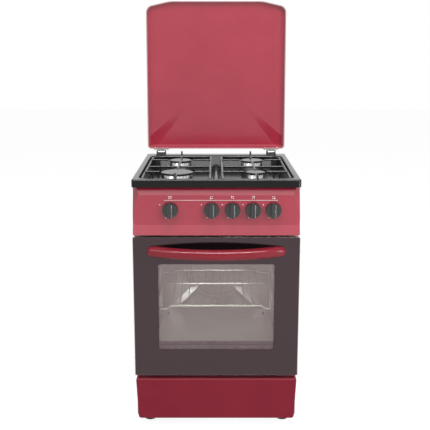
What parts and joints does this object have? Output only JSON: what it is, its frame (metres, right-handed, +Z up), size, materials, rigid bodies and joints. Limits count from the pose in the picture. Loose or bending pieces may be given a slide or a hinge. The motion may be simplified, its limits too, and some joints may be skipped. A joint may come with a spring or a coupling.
{
  "type": "free-standing gas cooker",
  "caption": "Narrow free-standing gas cooker with a hinged lid, open hob with pan supports, turning knobs, glazed drop-down oven door and a storage drawer.",
  "frame": {"origin": "middle of the bounding box's base, on the floor", "axes": "+Z up, -Y towards the oven door, +X to the right seen from the front"},
  "size_m": [0.5, 0.6274, 1.3384],
  "materials": {
    "red_enamel": "gloss enamel",
    "red_handle": "gloss lacquer",
    "black_enamel": "gloss enamel",
    "cap_enamel": "satin enamel",
    "burner_aluminium": "cast, machined",
    "support_enamel": "semi-gloss enamel on steel wire",
    "body_paint": "gloss paint",
    "zinc_sheet": "zinc-coated sheet",
    "screw_steel": "zinc plated",
    "hinge_zinc": "die-cast zinc",
    "foot_plastic": "moulded",
    "knob_plastic": "moulded, satin",
    "brass": "machined",
    "pipe_aluminium": "drawn tube",
    "oven_enamel": "grey enamel",
    "shelf_chrome": "chrome-plated wire",
    "burner_steel": "stainless tube",
    "wool": "mineral wool",
    "seal_rubber": "extruded",
    "door_glass": "tempered"
  },
  "bodies": {
    "cooker": {"side_panel_left": "body_paint", "side_panel_right": "body_paint", "back_panel": "zinc_sheet", "back_panel_screws": "screw_steel", "base_pan": "zinc_sheet", "adjustable_feet": "foot_plastic", "sill_rail": "zinc_sheet", "hob_top": "black_enamel", "burner_cups": "burner_aluminium", "control_panel": "red_enamel", "oven_cavity": "oven_enamel", "oven_floor_plate": "oven_enamel", "oven_burner": "burner_steel", "oven_insulation": "wool", "door_seal": "seal_rubber", "shelf_runners": "shelf_chrome", "oven_shelf": "shelf_chrome", "gas_manifold": "pipe_aluminium", "gas_taps": "brass", "gas_pipes": "pipe_aluminium", "lid_hinge_bases": "hinge_zinc", "lid_hinge_pins": "screw_steel", "door_hinge_brackets": "screw_steel", "drawer_runners": "zinc_sheet", "burner_head_front_left": "burner_aluminium", "burner_head_back_left": "burner_aluminium", "burner_head_back_right": "burner_aluminium", "burner_head_front_right": "burner_aluminium", "burner_cap_front_left": "cap_enamel", "burner_cap_back_left": "cap_enamel", "burner_cap_back_right": "cap_enamel", "burner_cap_front_right": "cap_enamel"},
    "lid": {"lid_panel": "red_enamel", "lid_hinge_leaves": "hinge_zinc", "lid_screws": "screw_steel"},
    "oven_door": {"door_outer_glass": "door_glass", "door_inner_frame": "zinc_sheet", "door_inner_glass": "door_glass", "door_handle": "red_handle", "door_hinge_arms": "screw_steel"},
    "drawer": {"drawer_front": "red_enamel", "drawer_tray": "zinc_sheet"},
    "left_support": {"pan_support_left": "support_enamel"},
    "right_support": {"pan_support_right": "support_enamel"},
    "tap_1": {"tap_plug_1": "brass"},
    "knob_1": {"tap_spindle_1": "screw_steel", "knob_1": "knob_plastic"},
    "tap_2": {"tap_plug_2": "brass"},
    "knob_2": {"tap_spindle_2": "screw_steel", "knob_2": "knob_plastic"},
    "tap_3": {"tap_plug_3": "brass"},
    "knob_3": {"tap_spindle_3": "screw_steel", "knob_3": "knob_plastic"},
    "tap_4": {"tap_plug_4": "brass"},
    "knob_4": {"tap_spindle_4": "screw_steel", "knob_4": "knob_plastic"},
    "tap_5": {"tap_plug_5": "brass"},
    "knob_5": {"tap_spindle_5": "screw_steel", "knob_5": "knob_plastic"}
  },
  "joints": [
    {"name": "lid_hinge", "type": "hinge", "parent": "cooker", "child": "lid", "pos_m": [0, 0.28132, 0.808], "axis": [-1, 0, 0], "range_deg": [-92, 0]},
    {"name": "door_hinge", "type": "hinge", "parent": "cooker", "child": "oven_door", "pos_m": [0, -0.23368, 0.207], "axis": [1, 0, 0], "range_deg": [0, 88], "stiffness_Nm_per_rad": 4, "springref_deg": -28.65},
    {"name": "drawer_slide", "type": "slide", "parent": "cooker", "child": "drawer", "axis": [0, -1, 0], "range_m": [0, 0.3]},
    {"name": "left_support_lift", "type": "slide", "parent": "cooker", "child": "left_support", "axis": [0, 0, 1], "range_m": [0, 0.12]},
    {"name": "right_support_lift", "type": "slide", "parent": "cooker", "child": "right_support", "axis": [0, 0, 1], "range_m": [0, 0.12]},
    {"name": "tap_turn_1", "type": "hinge", "parent": "cooker", "child": "tap_1", "pos_m": [-0.137, -0.20368, 0.708], "axis": [0, -1, 0], "range_deg": [0, 155]},
    {"name": "knob_push_1", "type": "slide", "parent": "tap_1", "child": "knob_1", "axis": [0, 1, 0], "range_m": [0, 0.003], "stiffness_N_per_m": 1500, "springref_m": -0.002},
    {"name": "tap_turn_2", "type": "hinge", "parent": "cooker", "child": "tap_2", "pos_m": [-0.014, -0.20368, 0.708], "axis": [0, -1, 0], "range_deg": [0, 155]},
    {"name": "knob_push_2", "type": "slide", "parent": "tap_2", "child": "knob_2", "axis": [0, 1, 0], "range_m": [0, 0.003], "stiffness_N_per_m": 1500, "springref_m": -0.002},
    {"name": "tap_turn_3", "type": "hinge", "parent": "cooker", "child": "tap_3", "pos_m": [0.048, -0.20368, 0.708], "axis": [0, -1, 0], "range_deg": [0, 155]},
    {"name": "knob_push_3", "type": "slide", "parent": "tap_3", "child": "knob_3", "axis": [0, 1, 0], "range_m": [0, 0.003], "stiffness_N_per_m": 1500, "springref_m": -0.002},
    {"name": "tap_turn_4", "type": "hinge", "parent": "cooker", "child": "tap_4", "pos_m": [0.109, -0.20368, 0.708], "axis": [0, -1, 0], "range_deg": [0, 155]},
    {"name": "knob_push_4", "type": "slide", "parent": "tap_4", "child": "knob_4", "axis": [0, 1, 0], "range_m": [0, 0.003], "stiffness_N_per_m": 1500, "springref_m": -0.002},
    {"name": "tap_turn_5", "type": "hinge", "parent": "cooker", "child": "tap_5", "pos_m": [0.169, -0.20368, 0.708], "axis": [0, -1, 0], "range_deg": [0, 155]},
    {"name": "knob_push_5", "type": "slide", "parent": "tap_5", "child": "knob_5", "axis": [0, 1, 0], "range_m": [0, 0.003], "stiffness_N_per_m": 1500, "springref_m": -0.002}
  ]
}
